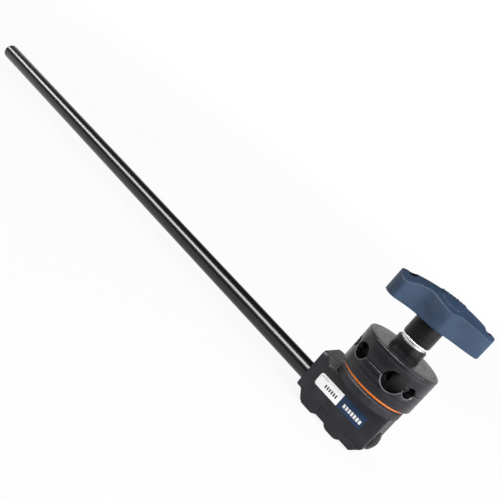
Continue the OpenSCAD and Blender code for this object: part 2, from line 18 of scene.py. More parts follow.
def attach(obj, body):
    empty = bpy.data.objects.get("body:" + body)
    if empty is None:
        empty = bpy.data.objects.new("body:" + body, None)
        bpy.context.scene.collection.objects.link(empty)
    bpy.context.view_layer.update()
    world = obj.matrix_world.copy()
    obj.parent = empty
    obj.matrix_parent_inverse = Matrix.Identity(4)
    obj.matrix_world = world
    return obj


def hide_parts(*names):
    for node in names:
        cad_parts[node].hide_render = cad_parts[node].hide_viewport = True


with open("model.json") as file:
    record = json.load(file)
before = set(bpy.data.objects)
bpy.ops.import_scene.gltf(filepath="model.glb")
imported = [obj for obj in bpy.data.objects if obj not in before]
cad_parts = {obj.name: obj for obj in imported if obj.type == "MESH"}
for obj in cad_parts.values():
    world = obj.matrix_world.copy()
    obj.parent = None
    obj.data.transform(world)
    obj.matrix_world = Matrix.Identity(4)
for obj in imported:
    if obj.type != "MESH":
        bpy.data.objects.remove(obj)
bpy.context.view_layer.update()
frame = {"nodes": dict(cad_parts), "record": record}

log = logging.getLogger("grip_arm")

MM = 0.001
Point2 = tuple[float, float]
Point3 = tuple[float, float, float]
Piece = bpy.types.Object
Node = bpy.types.Node
Socket = bpy.types.NodeSocket
Tree = bpy.types.NodeTree

# Heights and reaches in millimetres, as the part's source stacks them on the rod's axis
CLAMP_X = -42.5
RING_Z = 32.0
INNER_JAW_Z = 33.9
INNER_JAW_TOP = 50.3
SPLIT_Z = 50.6
OUTER_JAW_Z = 50.9
OUTER_JAW_TOP = 66.2
COLLAR_Z = 67.0
COLLAR_TOP = 74.2
STEM_Z = 79.05
GRIP_Z = 95.85
GRIP_TOP = 121.85
JAW_ANGLE = -6.5
GRIP_ANGLE = 36.7
# Bores that clear the bolt: in the jaws and washers, and in the collar
BORE_D = 10.12
COLLAR_BORE_D = 10.36
# The four channels between the jaws: turn about the bolt in degrees, and diameter
CHANNELS = ((0, 12.7), (180, 15.875), (90, 9.525), (270, 6.35))
CHANNEL_OFFSET = 16.0
# Middle of one wing's blind hole, from the clamp axis; the other wing's is opposite
HOLE_AT = Matrix.Rotation(math.radians(GRIP_ANGLE), 2) @ Vector((35.2, -3.3))
HOLE_D = 8.0
HOLE_FLOOR = GRIP_Z + 15.0
# How far a cutter reaches past the face that it cuts, and past the grip's top
OVERCUT = 1.0
CLEARANCE = 4.0
# Points closer than these are merged: where a shape meets itself, and before its edges are rounded
CLOSE = 0.001
WELD = 0.02
BUMP_STRENGTH = 0.6
# How metallic a painted shade inside a hollow is: with its near-black colour it then mirrors next to nothing,
# so the painted shade stays dark
SHADE_METALLIC = 0.85


class Body(Enum):
    """The CAD bodies that pieces ride on."""

    ARM = "arm"
    INNER_JAW = "inner_jaw"
    OUTER_JAW = "outer_jaw"
    BEARING = "thrust_bearing"
    HANDLE = "handle"


class Axis(Enum):
    """The lines that round parts and patterns are set on."""

    CLAMP = "clamp"
    ROD = "rod"
    FRAME = "frame"


class Cut(Enum):
    """What a second shape does to the first."""

    ADD = "UNION"
    REMOVE = "DIFFERENCE"


# Shaping


class Bench:
    """The tools that every new piece is shaped with. Sizes are millimetres until hand_over."""

    @staticmethod
    def clear() -> None:
        """Leaves edit mode and deselects everything."""
        if bpy.context.object and bpy.context.object.mode != "OBJECT":
            bpy.ops.object.mode_set(mode="OBJECT")
        bpy.ops.object.select_all(action="DESELECT")

    @staticmethod
    def take(piece: Piece) -> None:
        """Selects one piece alone and makes it active.

        Args:
            piece: The piece to select.
        """
        Bench.clear()
        piece.select_set(True)
        bpy.context.view_layer.objects.active = piece

    @staticmethod
    def edit(piece: Piece, kind: str = "VERT") -> None:
        """Opens a piece in edit mode with all of it selected.

        Args:
            piece: The piece to open.
            kind: What is selected by, VERT, EDGE or FACE.
        """
        Bench.take(piece)
        bpy.ops.object.mode_set(mode="EDIT")
        bpy.ops.mesh.select_mode(type=kind)
        bpy.ops.mesh.select_all(action="SELECT")

    @staticmethod
    def settle(name: str) -> Piece:
        """Names the primitive that was just added and keeps its place in its mesh.

        Args:
            name: The new piece's name.

        Returns:
            The piece.
        """
        piece = bpy.context.object
        piece.name = name
        bpy.ops.object.transform_apply()
        return piece

    @staticmethod
    def fix(piece: Piece) -> None:
        """Brings a piece's place, turn and scale into its mesh."""
        Bench.take(piece)
        bpy.ops.object.transform_apply()

    @staticmethod
    def place(piece: Piece, matrix: Matrix) -> None:
        """Moves and turns a piece, and keeps its new place in its mesh."""
        piece.matrix_world = matrix
        Bench.fix(piece)

    @staticmethod
    def draw(name: str, points: list[Point3]) -> Piece:
        """Draws an open line by extruding a vertex from point to point.

        Args:
            name: The new piece's name.
            points: Where the line goes.

        Returns:
            The piece, in edit mode with all of it selected.
        """
        Bench.clear()
        bpy.ops.mesh.primitive_plane_add(size=1, location=points[0])
        piece = Bench.settle(name)
        Bench.edit(piece)
        bpy.ops.mesh.merge(type="CENTER")
        for here, after in zip(points, points[1:]):
            step = tuple(b - a for a, b in zip(here, after))
            bpy.ops.mesh.extrude_region_move(TRANSFORM_OT_translate={"value": step})
        bpy.ops.mesh.select_all(action="SELECT")
        return piece

    @staticmethod
    def close_up() -> None:
        """Turns the faces of the piece in edit mode outwards and leaves edit mode."""
        bpy.ops.mesh.select_all(action="SELECT")
        bpy.ops.mesh.normals_make_consistent(inside=False)
        Bench.clear()

    @staticmethod
    def lathe(name: str, profile: list[Point2], flats: int = 128, axis: Axis = Axis.CLAMP) -> Piece:
        """Turns a profile of radius and height into a solid of revolution.

        Args:
            name: The new piece's name.
            profile: Points of radius and height, in order.
            flats: How many flats go round the piece.
            axis: The line that it is round, along the clamp bolt or along the rod.

        Returns:
            The piece, closed and with its faces outwards.
        """
        piece = Bench.draw(name, [(r, 0.0, z) for r, z in profile])
        bpy.ops.mesh.spin(steps=flats, angle=math.tau, center=(0, 0, 0), axis=(0, 0, 1))
        bpy.ops.mesh.select_all(action="SELECT")
        bpy.ops.mesh.remove_doubles(threshold=CLOSE)
        Bench.close_up()
        on_clamp = Matrix.Translation((CLAMP_X, 0.0, 0.0))
        Bench.place(piece, on_clamp if axis is Axis.CLAMP else Matrix.Rotation(math.pi / 2, 4, "Y"))
        return piece

    @staticmethod
    def soften(points: list[Point2], radii: dict[int, float], flats: int = 4) -> list[Point2]:
        """Rounds chosen corners of a profile.

        Args:
            points: The profile's corners.
            radii: The radius for each corner that is rounded, by its place in the list.
            flats: How many flats make one rounding.

        Returns:
            The profile with an arc in place of each chosen corner.
        """
        out: list[Point2] = []
        for i, point in enumerate(points):
            if not radii.get(i):
                out.append(point)
                continue
            here = Vector(point)
            back = (Vector(points[i - 1]) - here).normalized()
            on = (Vector(points[i + 1]) - here).normalized()
            half = back.angle(on) / 2
            start = here + back * radii[i] / math.tan(half)
            centre = here + (back + on).normalized() * radii[i] / math.sin(half)
            spoke = start - centre
            turn = (math.pi - 2 * half) * (1 if back.cross(on) < 0 else -1)
            out += [tuple(centre + Matrix.Rotation(turn * k / flats, 2) @ spoke) for k in range(flats + 1)]
        return out

    @staticmethod
    def post(name: str, d: float, z: float, top: float, at: Point2 = (0.0, 0.0)) -> Piece:
        """Makes an upright round cutter on the clamp axis, or beside it.

        Args:
            name: The cutter's name.
            d: Its diameter.
            z: The height of its lower end.
            top: The height of its upper end.
            at: How far it stands from the clamp axis, in x and y.

        Returns:
            The cutter.
        """
        Bench.clear()
        middle = (CLAMP_X + at[0], at[1], (z + top) / 2)
        bpy.ops.mesh.primitive_cylinder_add(vertices=64, radius=d / 2, depth=top - z, location=middle)
        return Bench.settle(name)

    @staticmethod
    def modify(piece: Piece, kind: str, **settings: object) -> None:
        """Adds a modifier to a piece and applies it.

        Args:
            piece: The piece to change.
            kind: Blender's name of the modifier.
            **settings: The modifier's properties.
        """
        Bench.take(piece)
        bpy.ops.object.modifier_add(type=kind)
        modifier = piece.modifiers[-1]
        for key, value in settings.items():
            setattr(modifier, key, value)
        bpy.ops.object.modifier_apply(modifier=modifier.name)

    @staticmethod
    def combine(piece: Piece, other: Piece, how: Cut) -> None:
        """Adds the other shape to a piece or takes it away, and uses the other one up."""
        Bench.modify(piece, "BOOLEAN", operation=how.value, solver="EXACT", object=other)
        bpy.data.objects.remove(other, do_unlink=True)

    @staticmethod
    def round_edges(piece: Piece, width: float, angle: float, segments: int = 2) -> None:
        """Rounds every edge that is sharper than an angle.

        Args:
            piece: The piece to round.
            width: Width of the rounding.
            angle: The least angle of an edge that is rounded, in degrees.
            segments: How many flats make the rounding.
        """
        Bench.edit(piece)
        bpy.ops.mesh.remove_doubles(threshold=WELD)
        Bench.modify(piece, "BEVEL", limit_method="ANGLE", angle_limit=math.radians(angle), width=width,
                     segments=segments, use_clamp_overlap=False, miter_outer="MITER_ARC")

    @staticmethod
    def melt(piece: Piece, voxel: float, passes: int) -> None:
        """Rebuilds a piece as one even skin and relaxes its edges, as casting and moulding leave them."""
        Bench.modify(piece, "REMESH", mode="VOXEL", voxel_size=voxel)
        Bench.modify(piece, "SMOOTH", factor=0.5, iterations=passes)

    @staticmethod
    def copy_node(node: str, name: str) -> Piece:
        """Copies a CAD node's mesh to work on, in millimetres and with its doubles merged.

        Args:
            node: The CAD node to copy.
            name: The new piece's name.

        Returns:
            The copy, which no longer shares anything with the node.
        """
        Bench.clear()
        piece = bpy.data.objects.new(name, frame["nodes"][node].data.copy())
        piece.data.materials.clear()
        bpy.context.scene.collection.objects.link(piece)
        piece.scale = (1 / MM,) * 3
        Bench.fix(piece)
        Bench.edit(piece)
        bpy.ops.mesh.remove_doubles(threshold=CLOSE)
        Bench.clear()
        return piece

    @staticmethod
    def hand_over(piece: Piece, body: Body, finish: "Finish", node: str, smooth: float = 30.0) -> None:
        """Brings a finished piece to metres, shades it, dresses it and fixes it to its body.

        Args:
            piece: The piece, in millimetres.
            body: The body that it rides on.
            finish: What it is dressed in.
            node: The CAD node that it stands for.
            smooth: The greatest angle that is shaded smooth, in degrees.
        """
        piece.scale = (MM,) * 3
        Bench.fix(piece)
        bpy.ops.object.shade_smooth_by_angle(angle=math.radians(smooth))
        piece.data.materials.clear()
        piece.data.materials.append(finish.material())
        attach(piece, body.value)
        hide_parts(node)
        log.info("%s: %d faces on %s", piece.name, len(piece.data.polygons), body.value)


# Materials


class Graph:
    """Writes a node tree, a material's or a group's, in short calls."""

    def __init__(self, tree: Tree) -> None:
        """Holds the tree that is written."""
        self.tree = tree

    def put(self, value: object, socket: Socket) -> None:
        """Leads a socket to another, or sets a plain value on it.

        Args:
            value: The first socket, or the value.
            socket: The socket that it goes to.
        """
        if isinstance(value, Socket):
            self.tree.links.new(value, socket)
        else:
            socket.default_value = value

    def node(self, kind: str, **values: object) -> Node:
        """Adds a node and sets its properties and inputs.

        Args:
            kind: The node's type, without its ShaderNode prefix.
            **values: Properties by their own name, then inputs by theirs.

        Returns:
            The new node.
        """
        node = self.tree.nodes.new("ShaderNode" + kind)
        for key, value in values.items():
            if hasattr(node, key):
                setattr(node, key, value)
            else:
                self.put(value, node.inputs[key.replace("_", " ")])
        return node

    def effect(self, tree: Tree, where: Socket, **values: float) -> dict[str, Socket]:
        """Places a shared effect with its own values, and returns what it puts out by name."""
        return dict(self.node("Group", node_tree=tree, Vector=where, **values).outputs.items())

    def math(self, operation: str, *inputs: object) -> Socket:
        """Adds one sum of numbers.

        Args:
            operation: Blender's name of the sum.
            *inputs: Numbers or sockets.

        Returns:
            The socket with the result.
        """
        node = self.node("Math", operation=operation)
        for socket, value in zip(node.inputs, inputs):
            self.put(value, socket)
        return node.outputs[0]

    def most(self, values: list[Socket]) -> Socket:
        """Returns the greatest of some values."""
        return reduce(partial(self.math, "MAXIMUM"), values)

    def weigh(self, first: Socket, second: Socket, share: float) -> Socket:
        """Adds two values up, the second by its share and the first by what is left."""
        return self.math("ADD", self.math("MULTIPLY", first, 1 - share), self.math("MULTIPLY", second, share))

    def blend(self, share: Socket, low: object, high: object) -> Socket:
        """Mixes two colours by a share.

        Args:
            share: Nought for the first colour, one for the second.
            low: The first colour, or a socket with it.
            high: The second colour, or a socket with it.

        Returns:
            The socket with the mixed colour.
        """
        node = self.node("Mix", data_type="RGBA")
        self.put(share, node.inputs["Factor"])
        for name, value in (("A", low), ("B", high)):
            socket = next(s for s in node.inputs if s.name == name and s.type == "RGBA")
            self.put(value if isinstance(value, Socket) else (*value, 1.0), socket)
        return next(s for s in node.outputs if s.type == "RGBA")

    def ramp(self, value: Socket, start: Point2, end: Point2 = (0.0, 1.0)) -> Socket:
        """Brings a value from the start range into the end range, and holds it there."""
        return self.node("MapRange", Value=value, From_Min=start[0], From_Max=start[1], To_Min=end[0],
                         To_Max=end[1]).outputs[0]

    def noise(self, where: Socket, **values: object) -> Socket:
        """Adds a noise texture and returns its height."""
        return self.node("TexNoise", Vector=where, **values).outputs[0]

    def reach(self, x: Socket, y: Socket) -> Socket:
        """Returns how far a point lies from nought, by its two numbers."""
        flat = self.node("CombineXYZ", X=x, Y=y)
        return self.node("VectorMath", operation="LENGTH", Vector=flat.outputs[0]).outputs["Value"]

    def from_axis(self, axis: Axis) -> Socket:
        """Gives object coordinates with their third number along an axis.

        Args:
            axis: The clamp axis, the rod's, or the frame's own.

        Returns:
            The socket with the coordinates, in metres.
        """
        here = self.node("TexCoord").outputs["Object"]
        if axis is Axis.CLAMP:
            return self.node("Mapping", Vector=here, Location=(-CLAMP_X * MM, 0.0, 0.0)).outputs[0]
        if axis is Axis.ROD:
            return self.node("Mapping", Vector=here, Rotation=(0.0, -math.pi / 2, 0.0)).outputs[0]
        return here


class Group(Graph):
    """A node group in the making, with a vector and named numbers as its inputs."""

    def __init__(self, name: str, **inputs: float) -> None:
        """Starts the group.

        Args:
            name: The group's name.
            **inputs: Its numbers and their usual values.
        """
        super().__init__(bpy.data.node_groups.new(name, "ShaderNodeTree"))
        face = self.tree.interface
        face.new_socket("Vector", in_out="INPUT", socket_type="NodeSocketVector")
        for label, value in inputs.items():
            face.new_socket(label, in_out="INPUT", socket_type="NodeSocketFloat").default_value = value
        self.given = self.tree.nodes.new("NodeGroupInput").outputs
        self.vector = self.given["Vector"]

    def put_out(self, **outputs: Socket) -> Tree:
        """Finishes the group by naming what it puts out.

        Args:
            **outputs: The sockets, by the names that they get.

        Returns:
            The group's tree.
        """
        for label in outputs:
            self.tree.interface.new_socket(label, in_out="OUTPUT", socket_type="NodeSocketFloat")
        sink = self.tree.nodes.new("NodeGroupOutput")
        for label, value in outputs.items():
            self.put(value, sink.inputs[label])
        return self.tree

    def within(self, value: Socket, low: str, high: str) -> Socket:
        """Gives one where a value lies between two inputs, named low and high, and nought elsewhere."""
        return self.math("MULTIPLY", self.math("GREATER_THAN", value, self.given[low]),
                         self.math("LESS_THAN", value, self.given[high]))


class Effects:
    """The shared effects, each a node group that is built once. All of them take a Vector."""

    # The share of a shade that comes from its broad pattern; the fine one gives the rest
    BROAD = 0.6
    # The heights of each pattern that become the shades nought and one
    GRAIN_SPREAD = (0.36, 0.64)
    TURNING_SPREAD = (0.34, 0.66)
    WIPE_SPREAD = (0.42, 0.72)
    # Broad bands between the tool lines in each metre, and how far and how often the lines wander
    BANDS = 450.0
    DRIFT = 0.0002
    DRIFTS = 60.0
    # Where the painted highlight along a lip starts to fade and where it ends, in metres
    LIP_WIDTH = (0.0004, 0.0009)

    @staticmethod
    @cache
    def grain() -> Tree:
        """Draws fine grain with a broad mottle, for coats, castings and mouldings.

        Returns:
            The group. It takes Grain and Mottle, and puts out Height and Shade.
        """
        group = Group("Grain", Grain=2200.0, Mottle=90.0)
        fine = group.noise(group.vector, Scale=group.given["Grain"], Detail=3.0, Roughness=0.6)
        broad = group.noise(group.vector, Scale=group.given["Mottle"], Detail=4.0, Roughness=0.55)
        both = group.weigh(fine, broad, Effects.BROAD)
        return group.put_out(Height=fine, Shade=group.ramp(both, Effects.GRAIN_SPREAD))

    @staticmethod
    @cache
    def turning() -> Tree:
        """Draws fine tool lines round an axis, on flat faces and on round sides alike.

        Returns:
            The group. It takes Lines, and puts out Height and Shade.
        """
        group = Group("Turning", Lines=2600.0)
        x, y, z = group.node("SeparateXYZ", Vector=group.vector).outputs
        wander = group.noise(group.vector, Scale=Effects.DRIFTS, Detail=1.0)
        along = group.math("ADD", group.reach(x, y), z)
        drift = group.math("ADD", along, group.math("MULTIPLY", wander, Effects.DRIFT))
        fine = group.node("TexNoise", noise_dimensions="1D", W=drift, Scale=group.given["Lines"], Detail=2.0)
        bands = group.node("TexNoise", noise_dimensions="1D", W=drift, Scale=Effects.BANDS, Detail=1.0)
        both = group.weigh(fine.outputs[0], bands.outputs[0], Effects.BROAD)
        return group.put_out(Height=fine.outputs[0], Shade=group.ramp(both, Effects.TURNING_SPREAD))

    @staticmethod
    @cache
    def marks() -> Tree:
        """Draws the soft wipes that handling leaves.

        Returns:
            The group. It takes Size, and puts out Mask.
        """
        group = Group("Marks", Size=70.0)
        wipe = group.noise(group.vector, Scale=group.given["Size"], Detail=5.0, Roughness=0.65,
                           Distortion=0.6)
        return group.put_out(Mask=group.ramp(wipe, Effects.WIPE_SPREAD))

    @staticmethod
    @cache
    def hollow() -> Tree:
        """Marks the inside of a body of revolution, or of a hole, between two heights.

        Returns:
            The group. It takes Radius, Low and High in metres, and puts out Mask.
        """
        group = Group("Hollow", Radius=0.03, Low=0.0, High=0.1)
        x, y, z = group.node("SeparateXYZ", Vector=group.vector).outputs
        near = group.math("LESS_THAN", group.reach(x, y), group.given["Radius"])
        return group.put_out(Mask=group.math("MULTIPLY", near, group.within(z, "Low", "High")))

    @staticmethod
    @cache
    def lip() -> Tree:
        """Marks the lips of a round channel that crosses a body of revolution.

        Returns:
            The group. It takes Turn in radians, Offset, Radius and Height in metres, and puts out Mask.
        """
        group = Group("Lip", Turn=0.0, Offset=0.016, Radius=0.006, Height=0.05)
        turned = group.node("VectorRotate", rotation_type="Z_AXIS", Vector=group.vector,
                            Angle=group.given["Turn"])
        x, _, z = group.node("SeparateXYZ", Vector=turned.outputs[0]).outputs
        reach = group.reach(group.math("SUBTRACT", x, group.given["Offset"]),
                            group.math("SUBTRACT", z, group.given["Height"]))
        away = group.math("ABSOLUTE", group.math("SUBTRACT", reach, group.given["Radius"]))
        return group.put_out(Mask=group.ramp(away, Effects.LIP_WIDTH, (1.0, 0.0)))

    @staticmethod
    @cache
    def blocks() -> Tree:
        """Prints a row of plain blocks on a plate that faces sideways.

        Returns:
            The group. It takes Start, End, Pitch, Fill, Low and High in millimetres, and puts out Mask.
        """
        group = Group("Blocks", Start=0.0, End=1.0, Pitch=1.0, Fill=0.5, Low=0.0, High=1.0)
        scaled = group.node("VectorMath", operation="SCALE", Vector=group.vector, Scale=1 / MM)
        x, _, z = group.node("SeparateXYZ", Vector=scaled.outputs[0]).outputs
        step = group.math("DIVIDE", group.math("SUBTRACT", x, group.given["Start"]), group.given["Pitch"])
        mask = group.math("LESS_THAN", group.math("FRACT", step), group.given["Fill"])
        for bounds in (group.within(x, "Start", "End"), group.within(z, "Low", "High")):
            mask = group.math("MULTIPLY", mask, bounds)
        return group.put_out(Mask=mask)


@dataclass
class Look:
    """What varies over a surface; how metallic it is varies on few of them."""

    height: Socket
    color: Socket
    rough: Socket
    metallic: Socket | None = None


@dataclass(frozen=True)
class Finish:
    """What all finishes share: a name, the record's slot and the base look.

    Attributes:
        name: The material's name.
        slot: The record's material slot.
        dark: The colour in the lows of the grain.
        light: The colour in its highs.
        rough: Least and greatest roughness.
        metallic: How metallic the surface is.
        specular: How strongly the surface mirrors, a half for most plastics.
        bump: Height of the surface's texture, in metres.
        axis: The axis that the pattern is set on.
        wipes: Handling marks in each metre.
        wiped: How much of the shade comes from them.
    """

    name: str
    slot: str
    dark: Point3
    light: Point3
    rough: Point2
    metallic: float = 0.0
    specular: float = 0.5
    bump: float = 0.00003
    axis: Axis = Axis.CLAMP
    wipes: float = 60.0
    wiped: float = 0.2

    def material(self) -> bpy.types.Material:
        """Builds the finish's material the first time it is asked for.

        Returns:
            The material.
        """
        found = bpy.data.materials.get(self.name)
        if found:
            return found
        material = bpy.data.materials.new(self.name)
        material.use_nodes = True
        graph = Graph(material.node_tree)
        shader = material.node_tree.nodes["Principled BSDF"]
        shader.inputs["Metallic"].default_value = self.metallic
        shader.inputs["Specular IOR Level"].default_value = self.specular
        look = self.look(graph, graph.from_axis(self.axis))
        bump = graph.node("Bump", Strength=BUMP_STRENGTH, Distance=self.bump, Height=look.height)
        graph.put(look.color, shader.inputs["Base Color"])
        graph.put(look.rough, shader.inputs["Roughness"])
        graph.put(bump.outputs[0], shader.inputs["Normal"])
        if look.metallic is not None:
            graph.put(look.metallic, shader.inputs["Metallic"])
        return material

    def vary(self, graph: Graph, where: Socket, pattern: dict[str, Socket]) -> Look:
        """Spreads the finish's colours and roughness over a pattern and its handling marks.

        Args:
            graph: The material's graph.
            where: Coordinates from the finish's axis.
            pattern: The pattern's Height and Shade.

        Returns:
            The look.
        """
        shade = pattern["Shade"]
        if self.wiped:
            marks = graph.effect(Effects.marks(), where, Size=self.wipes)
            shade = graph.weigh(shade, marks["Mask"], self.wiped)
        color = graph.blend(shade, self.dark, self.light)
        return Look(pattern["Height"], color, graph.ramp(shade, (0.0, 1.0), self.rough))

    def look(self, graph: Graph, where: Socket) -> Look:
        """Writes the surface's own nodes, which differ by finish, and returns the look."""
        raise NotImplementedError


@dataclass(frozen=True)
class Grained(Finish):
    """A coat, casting or moulding with a fine grain and a broad mottle.

    Attributes:
        grain: Grains in each metre.
        mottle: Patches in each metre.
    """

    grain: float = 2200.0
    mottle: float = 90.0

    def look(self, graph: Graph, where: Socket) -> Look:
        """Writes the grain and the handling marks."""
        grain = graph.effect(Effects.grain(), where, Grain=self.grain, Mottle=self.mottle)
        return self.vary(graph, where, grain)


@dataclass(frozen=True)
class Moulded(Grained):
    """A moulding with round blind holes, painted dark inside as shade.

    Attributes:
        holes: Middle of each hole, in metres from the clamp axis.
        hole_r: Radius inside which the surface is painted dark as shade, in metres.
        hole_z: Least and greatest height of the dark surface, in metres.
        shadow: Colour inside the holes.
    """

    holes: tuple[Point2, ...] = ()
    hole_r: float = (HOLE_D / 2 + 0.08) * MM
    hole_z: Point2 = ((HOLE_FLOOR - 0.1) * MM, (GRIP_TOP + CLEARANCE) * MM)
    shadow: Point3 = (0.0012, 0.0016, 0.0026)

    def look(self, graph: Graph, where: Socket) -> Look:
        """Writes the grain and the painted shade in the holes.

        Args:
            graph: The material's graph.
            where: Coordinates from the finish's axis.

        Returns:
            The look.
        """
        look = super().look(graph, where)
        low, high = self.hole_z
        masks = []
        for x, y in self.holes:
            centred = graph.node("Mapping", Vector=where, Location=(-x, -y, 0.0)).outputs[0]
            hole = graph.effect(Effects.hollow(), centred, Radius=self.hole_r, Low=low, High=high)
            masks.append(hole["Mask"])
        inside = graph.most(masks)
        # Painted shade: the inside of each hole is coloured near-black and made metallic so that it stays
        # dark
        look.color = graph.blend(inside, look.color, self.shadow)
        look.metallic = graph.math("MULTIPLY", inside, SHADE_METALLIC)
        return look


@dataclass(frozen=True)
class Turned(Finish):
    """Metal that was turned on a lathe, with tool lines round its axis.

    Attributes:
        lines: Tool lines in each metre.
    """

    lines: float = 2600.0
    wipes: float = 45.0
    wiped: float = 0.25

    def look(self, graph: Graph, where: Socket) -> Look:
        """Writes the tool lines and the handling marks."""
        return self.vary(graph, where, graph.effect(Effects.turning(), where, Lines=self.lines))


@dataclass(frozen=True)
class Drilled(Turned):
    """Turned metal with channels across it, with painted shade inside them and a painted highlight along the
    lips that face up.

    Attributes:
        hollow_r: Radius inside which the surface is painted dark as shade, in metres.
        hollow_z: Least and greatest height of the painted shade, in metres.
        channel_shade: Painted shade inside the channels, a near-black colour.
        dull_rough: Least roughness inside them.
        lip_highlight: Colour of the painted highlight on the lips.
        highlight_top: Greatest height of the painted highlight, in metres.
        seam: Where the painted highlight along the seam starts to fade and where it ends, in metres.
        seam_highlight: How strong the painted highlight on the seam's edge is.
        highlight_break: How strong the painted highlight is where its breaking noise is least and most.
        highlight_break_size: Patches of that noise in each metre.
    """

    hollow_r: float = 0.0313
    hollow_z: Point2 = (0.035, 0.0654)
    channel_shade: Point3 = (0.0012, 0.0012, 0.0014)
    dull_rough: float = 0.62
    lip_highlight: Point3 = (0.2, 0.205, 0.23)
    highlight_top: float = (SPLIT_Z - 0.1) * MM
    seam: Point2 = (0.00025, 0.0006)
    seam_highlight: float = 0.6
    highlight_break: Point2 = (0.45, 1.0)
    highlight_break_size: float = 110.0

    def highlight_mask(self, graph: Graph, where: Socket, inside: Socket) -> Socket:
        """Finds where the painted highlight goes: the lips of the channels and of the seam below the split,
        which face up.

        Args:
            graph: The material's graph.
            where: Coordinates from the clamp axis.
            inside: The mask of the channels' inside, which gets no painted highlight.

        Returns:
            The socket with how strong the painted highlight is.
        """
        z = graph.node("SeparateXYZ", Vector=where).outputs["Z"]
        from_seam = graph.math("ABSOLUTE", graph.math("SUBTRACT", z, INNER_JAW_TOP * MM))
        lips = [graph.ramp(from_seam, self.seam, (self.seam_highlight, 0.0))]
        for turn, d in CHANNELS:
            lips.append(graph.effect(
                Effects.lip(), where, Turn=-math.radians(JAW_ANGLE + turn), Offset=CHANNEL_OFFSET * MM,
                Radius=d / 2 * MM, Height=SPLIT_Z * MM)["Mask"])
        outside = graph.math("MULTIPLY", graph.math("LESS_THAN", z, self.highlight_top),
                             graph.math("SUBTRACT", 1.0, inside))
        highlight_noise = graph.effect(Effects.marks(), where, Size=self.highlight_break_size)["Mask"]
        edge = graph.math("MULTIPLY", graph.most(lips), outside)
        return graph.math("MULTIPLY", edge, graph.ramp(highlight_noise, (0.0, 1.0), self.highlight_break))

    def look(self, graph: Graph, where: Socket) -> Look:
        """Writes the tool lines, the painted shade in the channels and the painted highlight on their lips.

        Args:
            graph: The material's graph.
            where: Coordinates from the finish's axis.

        Returns:
            The look.
        """
        look = super().look(graph, where)
        low, high = self.hollow_z
        inside = graph.effect(Effects.hollow(), where, Radius=self.hollow_r, Low=low, High=high)["Mask"]
        # Painted shade: the inside of the channels is coloured near-black, and made metallic below so that it
        # stays dark
        channel_shaded = graph.blend(inside, look.color, self.channel_shade)
        # Painted highlight: the lips below the split, which face up to the light, are coloured light
        look.color = graph.blend(self.highlight_mask(graph, where, inside), channel_shaded, self.lip_highlight)
        look.rough = graph.math("MAXIMUM", look.rough, graph.math("MULTIPLY", inside, self.dull_rough))
        look.metallic = graph.math("MULTIPLY", inside, SHADE_METALLIC)
        return look


@dataclass(frozen=True)
class Film(Grained):
    """A clean printed label film with rows of plain blocks, all in one ink, set by the frame's coordinates.

    Attributes:
        ink: The ink's colour.
        rows: Each row's start, end, pitch, filled share and lower and upper edge, in millimetres.
    """

    axis: Axis = Axis.FRAME
    wiped: float = 0.0
    ink: Point3 = (0.5, 0.5, 0.5)
    rows: tuple[tuple[float, float, float, float, float, float], ...] = ()

    def look(self, graph: Graph, where: Socket) -> Look:
        """Writes the grain and the print.

        Args:
            graph: The material's graph.
            where: Coordinates from the finish's axis.

        Returns:
            The look.
        """
        look = super().look(graph, where)
        for row in self.rows:
            values = dict(zip(("Start", "End", "Pitch", "Fill", "Low", "High"), row))
            printed = graph.effect(Effects.blocks(), where, **values)["Mask"]
            look.color = graph.blend(printed, look.color, self.ink)
        return look


